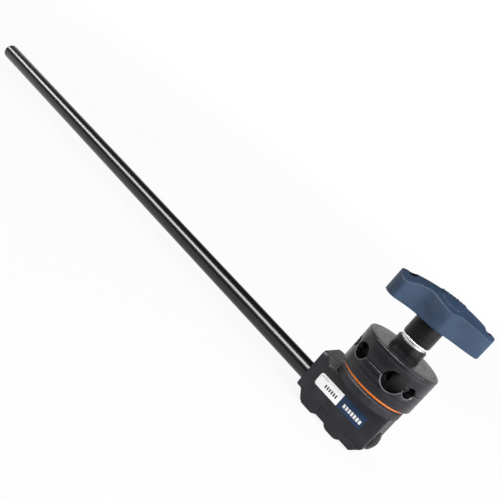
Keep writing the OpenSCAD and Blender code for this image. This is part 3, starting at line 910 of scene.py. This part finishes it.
class Finishes:
    """Every finish on the object."""

    CASTING = Grained("powder_coat", "black_casting", (0.004, 0.0036, 0.007), (0.018, 0.017, 0.027),
                      (0.42, 0.56), specular=0.36, bump=0.00007, grain=1500.0)
    JAW = Drilled("turned_black", "black_jaw", (0.002, 0.0018, 0.0035), (0.017, 0.016, 0.024), (0.26, 0.42),
                  specular=0.37, bump=0.00002)
    ROD = Turned("rod_black", "black_rod", (0.003, 0.003, 0.0035), (0.008, 0.0078, 0.009), (0.235, 0.245),
                 bump=0.0, axis=Axis.ROD, lines=300.0)
    BLACK_STEEL = Turned("blackened_steel", "black_steel", (0.0012, 0.0011, 0.0018),
                         (0.0065, 0.0062, 0.0095), (0.3, 0.42), specular=0.26, bump=0.00001)
    ZINC = Grained("zinc_plate", "zinc_steel", (0.42, 0.42, 0.44), (0.62, 0.62, 0.63), (0.3, 0.45), 1.0,
                   bump=0.00001)
    POLISHED = Turned("polished_steel", "polished_steel", (0.5, 0.47, 0.42), (0.78, 0.75, 0.7), (0.12, 0.18),
                      1.0, bump=0.0, lines=900.0)
    SPRING = Grained("spring_wire", "spring_steel", (0.35, 0.35, 0.37), (0.55, 0.55, 0.57), (0.28, 0.4), 1.0,
                     bump=0.000006)
    CORE = Grained("cast_core", "core_metal", (0.2, 0.2, 0.21), (0.4, 0.4, 0.42), (0.5, 0.7), 0.9,
                   bump=0.00008)
    BRASS = Turned("turned_brass", "brass", (0.55, 0.38, 0.15), (0.76, 0.56, 0.26), (0.22, 0.34), 1.0,
                   bump=0.00001)
    ORANGE = Grained("friction_plastic", "orange_ring", (0.98, 0.2, 0.008), (1.0, 0.27, 0.014), (0.5, 0.65))
    WHITE = Film("white_film", "white_label", (0.94, 0.94, 0.94), (0.98, 0.98, 0.98), (0.35, 0.45),
                 bump=0.000004, ink=(0.03, 0.03, 0.035),
                 rows=((-30.8, -17.6, 2.2, 0.6, 6.1, 9.1), (-18.6, -11.2, 20.0, 1.0, 11.9, 12.2)))
    BLUE = Film("blue_film", "blue_label", (0.002, 0.022, 0.07), (0.005, 0.032, 0.095), (0.35, 0.45),
                specular=0.35, bump=0.000004, ink=(0.85, 0.85, 0.85),
                rows=((-56.6, -37.7, 2.7, 0.7, 5.9, 9.1),))
    GRIP = Moulded("grip_plastic", "blue_grip", (0.009, 0.028, 0.066), (0.024, 0.055, 0.112), (0.46, 0.6),
                   specular=0.3, bump=0.00004, grain=1500.0, mottle=50.0,
                   holes=((HOLE_AT.x * MM, HOLE_AT.y * MM), (-HOLE_AT.x * MM, -HOLE_AT.y * MM)))


# Pieces


@dataclass(frozen=True)
class RingSize:
    """A plain ring's two diameters, its two heights and the radii of its lower and upper outer edge."""

    bore: float
    d: float
    z: float
    top: float
    low_r: float
    high_r: float

    def turn(self, name: str, flats: int = 128, arc: int = 4) -> Piece:
        """Turns the ring.

        Args:
            name: The ring's name.
            flats: How many flats go round it.
            arc: How many flats make each rounding.

        Returns:
            The ring, closed.
        """
        bore, r = self.bore / 2, self.d / 2
        corners = [(bore, self.z), (r, self.z), (r, self.top), (bore, self.top), (bore, self.z)]
        return Bench.lathe(name, Bench.soften(corners, {1: self.low_r, 2: self.high_r}, arc), flats)


@dataclass
class ArmRod:
    """The round rod, with a rounded tip and a short relief where it enters the casting."""

    d: float = 15.875
    length: float = 508.0
    spigot_d: float = 14.0
    spigot_len: float = 66.9
    root_r: float = 0.3
    tip_r: float = 1.3
    bolt_way_d: float = 10.08
    bolt_way_half: float = 12.0

    def build(self) -> None:
        """Turns the bar and its spigot in one piece."""
        r, spigot, half = self.d / 2, self.spigot_d / 2, self.bolt_way_half
        corners = [(0.0, -self.spigot_len), (spigot, -self.spigot_len), (spigot, 0.0), (r, 0.0),
                   (r, self.length), (0.0, self.length)]
        profile = Bench.soften(corners, {3: self.root_r, 4: self.tip_r}, flats=6)
        bar = Bench.lathe("rod_bar", profile, flats=96, axis=Axis.ROD)
        Bench.combine(bar, Bench.post("bolt_way", self.bolt_way_d, -half, half), Cut.REMOVE)
        Bench.hand_over(bar, Body.ARM, Finishes.ROD, "arm_rod")


@dataclass
class HeadCasting:
    """The cast body with the softness that a coated casting has."""

    voxel: float = 0.5
    relax: int = 4

    def build(self) -> None:
        """Softens a copy of the solid."""
        body = Bench.copy_node("head_casting", "cast_body")
        Bench.melt(body, self.voxel, self.relax)
        Bench.hand_over(body, Body.ARM, Finishes.CASTING, "head_casting", smooth=60.0)


@dataclass
class Labels:
    """The two thin label plates on the side face, end to end."""

    y: float = 16.0
    t: float = 0.3
    z: Point2 = (2.8, 14.0)
    ends: Point3 = (-10.0, -34.3, -58.5)
    corner_r: Point2 = (2.3, 1.1)
    edge_r: float = 0.07

    def plate(self, colour: str, near: float, far: float, r: float, rounded: float, finish: Finish) -> None:
        """Shapes one plate with the two corners at one end rounded.

        Args:
            colour: The plate's colour, which names it.
            near: Its end near the rod.
            far: Its other end.
            r: Radius of the rounded corners.
            rounded: The end that is rounded.
            finish: What it is dressed in.
        """
        low, high = self.z
        middle = ((near + far) / 2, self.y + self.t / 2, (low + high) / 2)
        Bench.clear()
        bpy.ops.mesh.primitive_cube_add(size=1, location=middle, scale=(near - far, self.t, high - low))
        piece = Bench.settle(colour + "_film")
        Bench.edit(piece, "EDGE")
        bpy.ops.mesh.select_all(action="DESELECT")
        bpy.ops.object.mode_set(mode="OBJECT")
        for edge in piece.data.edges:
            a, b = (piece.data.vertices[i].co for i in edge.vertices)
            edge.select = abs(a.y - b.y) > self.t / 2 and abs(a.x - rounded) < 0.01
        bpy.ops.object.mode_set(mode="EDIT")
        bpy.ops.mesh.bevel(offset=r, segments=10, affect="EDGES")
        Bench.round_edges(piece, self.edge_r, angle=60.0)
        Bench.hand_over(piece, Body.ARM, finish, colour + "_plate")

    def build(self) -> None:
        """Builds the white plate near the rod and the blue one after it."""
        near, seam, far = self.ends
        self.plate("white", near, seam, self.corner_r[0], near, Finishes.WHITE)
        self.plate("blue", seam, far, self.corner_r[1], far, Finishes.BLUE)


@dataclass
class Jaws:
    """Two turned discs with four half channels where they meet."""

    d: float = 64.0
    fit: float = 0.12
    overrun: float = 4.0
    seat_d: float = 14.4
    seat_depth: float = 8.0
    rim: float = 1.15
    lip: float = 0.5
    mouth: float = 0.48

    def jaw(self, name: str, blank: RingSize, seat: Point2, body: Body) -> None:
        """Makes one jaw.

        Args:
            name: The jaw's name, as its CAD node has it.
            blank: The size of the disc that it is cut from.
            seat: Least and greatest height of the cut for the spring.
            body: The body that it rides on.
        """
        jaw = blank.turn(name + "_disc", flats=160, arc=5)
        for turn, d in CHANNELS:
            angle = math.radians(JAW_ANGLE + turn)
            middle = (CLAMP_X + CHANNEL_OFFSET * math.cos(angle), CHANNEL_OFFSET * math.sin(angle), SPLIT_Z)
            Bench.clear()
            bpy.ops.mesh.primitive_cylinder_add(
                vertices=72,
                radius=(d + self.fit) / 2,
                depth=self.d + self.overrun,
                location=middle,
                rotation=(math.pi / 2, 0.0, angle),
            )
            Bench.combine(jaw, Bench.settle("channel"), Cut.REMOVE)
        Bench.combine(jaw, Bench.post("seat", self.seat_d, *seat), Cut.REMOVE)
        Bench.round_edges(jaw, self.mouth, angle=50.0, segments=3)
        Bench.hand_over(jaw, body, Finishes.JAW, name, smooth=35.0)

    def build(self) -> None:
        """Builds the inner jaw and the outer one."""
        inner = RingSize(BORE_D, self.d, INNER_JAW_Z, INNER_JAW_TOP, self.rim, self.lip)
        outer = RingSize(BORE_D, self.d, OUTER_JAW_Z, OUTER_JAW_TOP, self.lip, self.rim)
        inner_seat = (INNER_JAW_TOP - self.seat_depth, INNER_JAW_TOP + OVERCUT)
        outer_seat = (OUTER_JAW_Z - OVERCUT, OUTER_JAW_Z + self.seat_depth)
        self.jaw("inner_jaw", inner, inner_seat, Body.INNER_JAW)
        self.jaw("outer_jaw", outer, outer_seat, Body.OUTER_JAW)


@dataclass
class TurnedParts:
    """The small parts round the bolt, between the boss and the handle."""

    band: RingSize = RingSize(30.0, 58.8, RING_Z, INNER_JAW_Z, 0.55, 0.45)
    flange: RingSize = RingSize(COLLAR_BORE_D, 26.4, OUTER_JAW_TOP, COLLAR_Z, 0.0, 0.3)
    upper_race: RingSize = RingSize(BORE_D, 23.0, 77.35, STEM_Z, 0.35, 0.35)
    collar_r: float = 12.7
    foot_r: float = 0.3
    seam_z: float = 68.6
    seam: float = 0.4
    cup_r: float = 10.9
    cup_z: float = 75.7
    cup_edges: Point2 = (0.8, 0.25)
    race_r: float = 10.6
    race_z: Point2 = (74.3, 75.3)
    race_edges: Point3 = (0.25, 0.15, 0.12)
    skirt: float = 0.36
    skirt_z: float = 77.05

    def collar(self) -> None:
        """Turns the collar, whose raised rim holds the lower race."""
        r, cup, bore, seam = self.collar_r, self.cup_r, COLLAR_BORE_D / 2, self.seam
        corners = [(bore, COLLAR_Z), (r, COLLAR_Z), (r, self.seam_z), (r - seam, self.seam_z + seam),
                   (r - seam, self.seam_z + 2 * seam), (r, self.seam_z + 3 * seam), (r, self.cup_z),
                   (cup, self.cup_z), (cup, COLLAR_TOP), (bore, COLLAR_TOP), (bore, COLLAR_Z)]
        outer, inner = self.cup_edges
        piece = Bench.lathe("collar_sleeve", Bench.soften(corners, {1: self.foot_r, 6: outer, 7: inner}))
        Bench.hand_over(piece, Body.OUTER_JAW, Finishes.BLACK_STEEL, "bearing_collar")

    def lower_race(self) -> None:
        """Turns the lower race, whose thin skirt stands round the rollers."""
        (low, top), r, bore = self.race_z, self.race_r, BORE_D / 2
        inner = r - self.skirt
        corners = [(bore, low), (r, low), (r, self.skirt_z), (inner, self.skirt_z), (inner, top), (bore, top),
                   (bore, low)]
        piece = Bench.lathe("lower_race", Bench.soften(corners, dict(enumerate(self.race_edges, 1))))
        Bench.hand_over(piece, Body.BEARING, Finishes.POLISHED, "lower_bearing_washer")

    def build(self) -> None:
        """Builds the rings from the boss up to the stem."""
        band = self.band.turn("friction_band")
        Bench.hand_over(band, Body.INNER_JAW, Finishes.ORANGE, "friction_ring")
        flange = self.flange.turn("collar_base")
        Bench.hand_over(flange, Body.OUTER_JAW, Finishes.BLACK_STEEL, "collar_flange")
        self.collar()
        self.lower_race()
        race = self.upper_race.turn("upper_race")
        Bench.hand_over(race, Body.HANDLE, Finishes.POLISHED, "upper_bearing_washer")


@dataclass
class WingHandle:
    """The blue wing grip, the pad on its crown and the stem. Heights start at the grip's underside."""

    crown_h: float = 25.4
    crown_r: float = 168.0
    crown_slope: float = 0.52
    crown_half: float = 24.0
    crown_sweep: float = 0.66
    crown_steps: int = 44
    ridge: float = 1.5
    ridge_turn: float = -0.1
    blank_h: float = 30.0
    voxel: float = 0.55
    relax: int = 5
    seat_h: float = 19.5
    pad_d: float = 23.0
    pad_h: float = 19.7
    pad_fit: float = 0.1
    pad_lift: float = 0.35
    pad_edge: float = 0.28
    pad_flats: int = 72
    rib_h: float = 20.5
    rib_lift: float = 0.6
    rib_half: float = 3.4
    rib_step: float = 3.2
    rib_w: float = 1.5
    ribs_a_side: int = 3
    stem_r: float = 12.0
    stem_edge: float = 1.3
    shoulder_h: float = 0.2
    neck_r: float = 10.5
    neck_h: float = 16.0
    insert_r: float = 7.54
    insert_h: float = 16.0
    hollow_r: float = 8.2
    # Plan of one wing, from the middle of the hub's far side over the tip to its near side
    plan: tuple[Point2, ...] = (
        (0.0, -16.2), (4.5, -15.0), (9.0, -13.9), (19.0, -13.4), (30.0, -13.3), (36.8, -12.2), (41.3, -9.0),
        (43.5, -4.5), (43.9, 0.5), (42.8, 5.0), (39.8, 7.7), (36.0, 7.5), (31.5, 6.3), (25.5, 5.8),
        (20.0, 6.2), (15.6, 8.6), (11.6, 11.4), (7.6, 13.9), (3.6, 15.6),
    )

    def outline(self) -> list[Point2]:
        """Runs a smooth line through the plan of both wings.

        Returns:
            The outline's points, anticlockwise.
        """
        knots = [Vector(p) for p in self.plan] + [-Vector(p) for p in self.plan]
        points: list[Point2] = []
        for i, here in enumerate(knots):
            before, after, last = knots[i - 1], knots[(i + 1) % len(knots)], knots[(i + 2) % len(knots)]
            for t in (0.0, 0.25, 0.5, 0.75):
                bend = (2 * here + (after - before) * t + (2 * before - 5 * here + 4 * after - last) * t**2
                        + (3 * here - before - 3 * after + last) * t**3)
                points.append(tuple(bend / 2))
        return points

    def blank(self, name: str, points: list[Point2], base: float) -> Piece:
        """Draws a closed outline and raises it into an upright blank.

        Args:
            name: The blank's name.
            points: The outline's points.
            base: Height of its underside.

        Returns:
            The blank.
        """
        piece = Bench.draw(name, [(x, y, base) for x, y in points])
        bpy.ops.mesh.edge_face_add()
        bpy.ops.mesh.extrude_region_move(TRANSFORM_OT_translate={"value": (0, 0, self.blank_h - base)})
        Bench.close_up()
        return piece

    def above_crown(self, lift: float) -> Piece:
        """Makes the cutter that leaves the domed crown.

        Args:
            lift: How far the cut lies over the grip's own crown.

        Returns:
            The cutter.
        """
        top, half, count = self.crown_h + lift, self.crown_half, self.crown_steps
        across = [half * (2 * k / count - 1) for k in range(count + 1)]
        rows = [top - self.crown_slope * (math.hypot(y, self.ridge) - self.ridge) for y in across]
        cutter = Bench.draw("above_crown", [(0.0, y, z) for y, z in zip(across, rows)])
        centre = (0.0, 0.0, top - self.crown_r)
        bpy.ops.mesh.spin(steps=count, angle=self.crown_sweep, center=centre, axis=(0, 1, 0))
        Bench.clear()
        # The spin runs to one side, so half of it is turned back to stand over the middle
        swept = [v.co.x for v in cutter.data.vertices]
        back = Matrix.Rotation(-math.copysign(self.crown_sweep / 2, max(swept) + min(swept)), 4, "Y")
        about = Matrix.Translation(centre)
        Bench.place(cutter, Matrix.Rotation(self.ridge_turn, 4, "Z") @ about @ back @ about.inverted())
        Bench.edit(cutter)
        bpy.ops.mesh.extrude_region_move(TRANSFORM_OT_translate={"value": (0, 0, self.blank_h)})
        Bench.close_up()
        return cutter

    def set_on_stem(self, piece: Piece) -> None:
        """Turns a piece to the wings' angle and sets it on the stem."""
        turn = Matrix.Rotation(math.radians(GRIP_ANGLE), 4, "Z")
        Bench.place(piece, Matrix.Translation((CLAMP_X, 0.0, GRIP_Z)) @ turn)

    def grip(self) -> None:
        """Shapes the moulded grip, with its ways for the stem and the pad and its two blind holes."""
        shell = self.blank("grip_shell", self.outline(), 0.0)
        Bench.combine(shell, self.above_crown(0.0), Cut.REMOVE)
        Bench.melt(shell, self.voxel, self.relax)
        self.set_on_stem(shell)
        over = GRIP_TOP + CLEARANCE
        for cut in (
            ("stem_way", 2 * self.neck_r, GRIP_Z - OVERCUT, GRIP_Z + self.neck_h),
            ("pad_seat", self.pad_d + self.pad_fit, GRIP_Z + self.seat_h, over),
            ("hole", HOLE_D, HOLE_FLOOR, over, tuple(HOLE_AT)),
            ("hole", HOLE_D, HOLE_FLOOR, over, tuple(-HOLE_AT)),
        ):
            Bench.combine(shell, Bench.post(*cut), Cut.REMOVE)
        Bench.hand_over(shell, Body.HANDLE, Finishes.GRIP, "handle_grip", smooth=50.0)

    def pad(self) -> None:
        """Shapes the ribbed pad on the crown."""
        r, half, w = self.pad_d / 2, self.rib_half, self.rib_w / 2
        turns = [math.tau * k / self.pad_flats for k in range(self.pad_flats)]
        pad = self.blank("crown_pad", [(r * math.cos(a), r * math.sin(a)) for a in turns], self.pad_h)
        Bench.combine(pad, self.above_crown(self.pad_lift), Cut.REMOVE)
        for k in range(-self.ribs_a_side, self.ribs_a_side + 1):
            x = k * self.rib_step
            plan = [(x - w, -half), (x + w, -half), (x + w, half), (x - w, half)]
            rib = self.blank("rib", plan, self.rib_h)
            Bench.combine(rib, self.above_crown(self.rib_lift), Cut.REMOVE)
            Bench.combine(pad, rib, Cut.ADD)
        Bench.round_edges(pad, self.pad_edge, angle=40.0, segments=3)
        self.set_on_stem(pad)
        Bench.hand_over(pad, Body.HANDLE, Finishes.GRIP, "handle_cap", smooth=40.0)

    def stem(self) -> None:
        """Turns the black stem."""
        r, neck, insert, hollow = self.stem_r, self.neck_r, self.insert_r, self.hollow_r
        shoulder, neck_top = GRIP_Z + self.shoulder_h, GRIP_Z + self.neck_h
        insert_top = STEM_Z + self.insert_h
        corners = [(insert, STEM_Z), (r, STEM_Z), (r, shoulder), (neck, shoulder), (neck, neck_top),
                   (hollow, neck_top), (hollow, insert_top), (insert, insert_top), (insert, STEM_Z)]
        stem = Bench.lathe("stem_sleeve", Bench.soften(corners, {1: self.stem_edge}, flats=5))
        Bench.hand_over(stem, Body.HANDLE, Finishes.BLACK_STEEL, "handle_stem")

    def build(self) -> None:
        """Builds the handle's own pieces."""
        self.grip()
        self.pad()
        self.stem()


class CarriedNodes:
    """The CAD nodes whose shape is right as it is, each with its own finish."""

    def build(self) -> None:
        """Dresses every CAD node, also those that a piece stands for."""
        finishes = {f.slot: f for f in vars(Finishes).values() if isinstance(f, Finish)}
        slots = {sub["node"]: sub.get("material_slot") for sub in frame["record"]["subparts"]}
        for name, node in frame["nodes"].items():
            finish = finishes.get(slots.get(name))
            if finish is None:
                log.warning("%s has no finish", name)
                continue
            for slot in node.material_slots:
                slot.material = finish.material()
            if not node.material_slots:
                node.data.materials.append(finish.material())


# Studio


@dataclass
class Studio:
    """The pale floor, the soft lamps and the surroundings, in metres.

    A run is where something starts to change and where the change ends. A gloss is how bright mirrors
    see what stands in front of the object or above it, and soft is how the surroundings light it.
    """

    floor_z: float = -0.0175
    floor_size: float = 12.0
    floor_lift: float = 0.9
    floor_run: Point2 = (0.5, 1.6)
    floor_colour: Point3 = (0.9, 0.9, 0.9)
    floor_rough: float = 0.9
    floor_specular: float = 0.1
    floor_gloss: float = 0.12
    gloss_run: Point2 = (0.1, 0.34)
    soft: float = 0.56
    front_gloss: float = 0.03
    front_run: Point2 = (0.3, -0.3)
    top_gloss: float = 0.03
    top_run: Point2 = (0.32, 0.62)
    head: Point3 = (-0.04, 0.0, 0.05)

    def floor(self) -> None:
        """Lays a plain pale floor that runs out into white."""
        Bench.clear()
        bpy.ops.mesh.primitive_plane_add(size=self.floor_size, location=(0, 0, self.floor_z))
        plane = Bench.settle("studio_floor")
        material = bpy.data.materials.new("pale_floor")
        material.use_nodes = True
        graph = Graph(material.node_tree)
        shader = graph.tree.nodes["Principled BSDF"]
        shader.inputs["Base Color"].default_value = (*self.floor_colour, 1)
        shader.inputs["Roughness"].default_value = self.floor_rough
        shader.inputs["Specular IOR Level"].default_value = self.floor_specular
        where = graph.from_axis(Axis.FRAME)
        reach = graph.node("VectorMath", operation="LENGTH", Vector=where).outputs["Value"]
        far = graph.ramp(reach, self.floor_run, (self.floor_lift, 1.0))
        forward = graph.node("SeparateXYZ", Vector=where).outputs["Y"]
        fall = graph.ramp(forward, self.gloss_run, (1.0, self.floor_gloss))
        rays = graph.node("LightPath").outputs
        direct = graph.math("MAXIMUM", rays["Is Camera Ray"], rays["Is Transmission Ray"])
        white = graph.node("Emission", Strength=graph.math("MAXIMUM", direct, fall))
        seen = graph.math("MAXIMUM", direct, rays["Is Glossy Ray"])
        mixed = graph.node("MixShader", Fac=graph.math("MULTIPLY", far, seen))
        graph.put(shader.outputs[0], mixed.inputs[1])
        graph.put(white.outputs[0], mixed.inputs[2])
        graph.put(mixed.outputs[0], graph.tree.nodes["Material Output"].inputs["Surface"])
        plane.data.materials.append(material)

    def world(self) -> None:
        """Sets the surroundings: white behind the object, dark above and in front of it."""
        world = bpy.data.worlds.new("studio")
        world.use_nodes = True
        graph = Graph(world.node_tree)
        direction = graph.node("SeparateXYZ", Vector=graph.node("TexCoord").outputs["Generated"]).outputs
        behind = graph.ramp(direction["Y"], self.front_run, (self.front_gloss, 1.0))
        above = graph.ramp(direction["Z"], self.top_run, (1.0, self.top_gloss))
        rays = graph.node("LightPath").outputs
        surround = graph.node("Mix", data_type="FLOAT")
        graph.put(rays["Is Glossy Ray"], surround.inputs[0])
        graph.put(self.soft, surround.inputs[2])
        graph.put(graph.math("MULTIPLY", behind, above), surround.inputs[3])
        seen = graph.math("MAXIMUM", rays["Is Camera Ray"], rays["Is Transmission Ray"])
        background = graph.tree.nodes["Background"]
        graph.put(graph.math("MAXIMUM", surround.outputs[0], seen), background.inputs["Strength"])
        graph.put((1, 1, 1, 1), background.inputs["Color"])
        bpy.context.scene.world = world

    def lamp(self, name: str, at: Point3, aim: Point3, size: Point2, power: float) -> Piece:
        """Hangs one soft box.

        Args:
            name: The lamp's name.
            at: Where it hangs.
            aim: The point that it faces.
            size: Its width and height.
            power: Its power in watts.

        Returns:
            The lamp.
        """
        data = bpy.data.lights.new(name, "AREA")
        data.shape = "RECTANGLE"
        data.size, data.size_y = size
        data.energy = power
        lamp = bpy.data.objects.new(name, data)
        bpy.context.scene.collection.objects.link(lamp)
        lamp.location = at
        lamp.rotation_euler = (Vector(aim) - Vector(at)).to_track_quat("-Z", "Y").to_euler()
        return lamp

    def build(self) -> None:
        """Sets up the floor, the surroundings and the lamps."""
        self.floor()
        self.world()
        self.lamp("side_box", at=(-1.1, 0.3, 0.5), aim=self.head, size=(1.3, 1.1), power=20.0)
        strip = self.lamp("strip_box", at=(0.9, 0.7, 0.76), aim=(0.9, 0.0, 0.0), size=(2.8, 0.4), power=65.0)
        strip.visible_diffuse = False


@dataclass
class PhotoCamera:
    """The camera at the photograph's place, with its turn about its own axis."""

    at: Point3 = (-0.1314, 0.4889, 0.1745)
    right: Point3 = (-0.6334, -0.4860, 0.6022)
    up: Point3 = (0.6416, 0.1051, 0.7598)
    back: Point3 = (-0.4326, 0.8676, 0.2453)
    lens: float = 46.98
    sensor: float = 36.0

    def build(self) -> None:
        """Makes the camera and gives it to the scene."""
        data = bpy.data.cameras.new("photo_camera")
        data.lens = self.lens
        data.sensor_width = self.sensor
        camera = bpy.data.objects.new("photo_camera", data)
        bpy.context.scene.collection.objects.link(camera)
        turn = Matrix((self.right, self.up, self.back)).transposed().to_4x4()
        camera.matrix_world = Matrix.Translation(self.at) @ turn
        bpy.context.scene.camera = camera


def main() -> None:
    """Builds the camera, the studio and every piece in order."""
    bpy.context.scene.view_settings.view_transform = "Standard"
    for part in (PhotoCamera(), Studio(), CarriedNodes(), ArmRod(), HeadCasting(), Labels(), Jaws(),
                 TurnedParts(), WingHandle()):
        part.build()


if __name__ == "__main__":
    logging.basicConfig(level=logging.INFO, format="%(message)s")
    main()
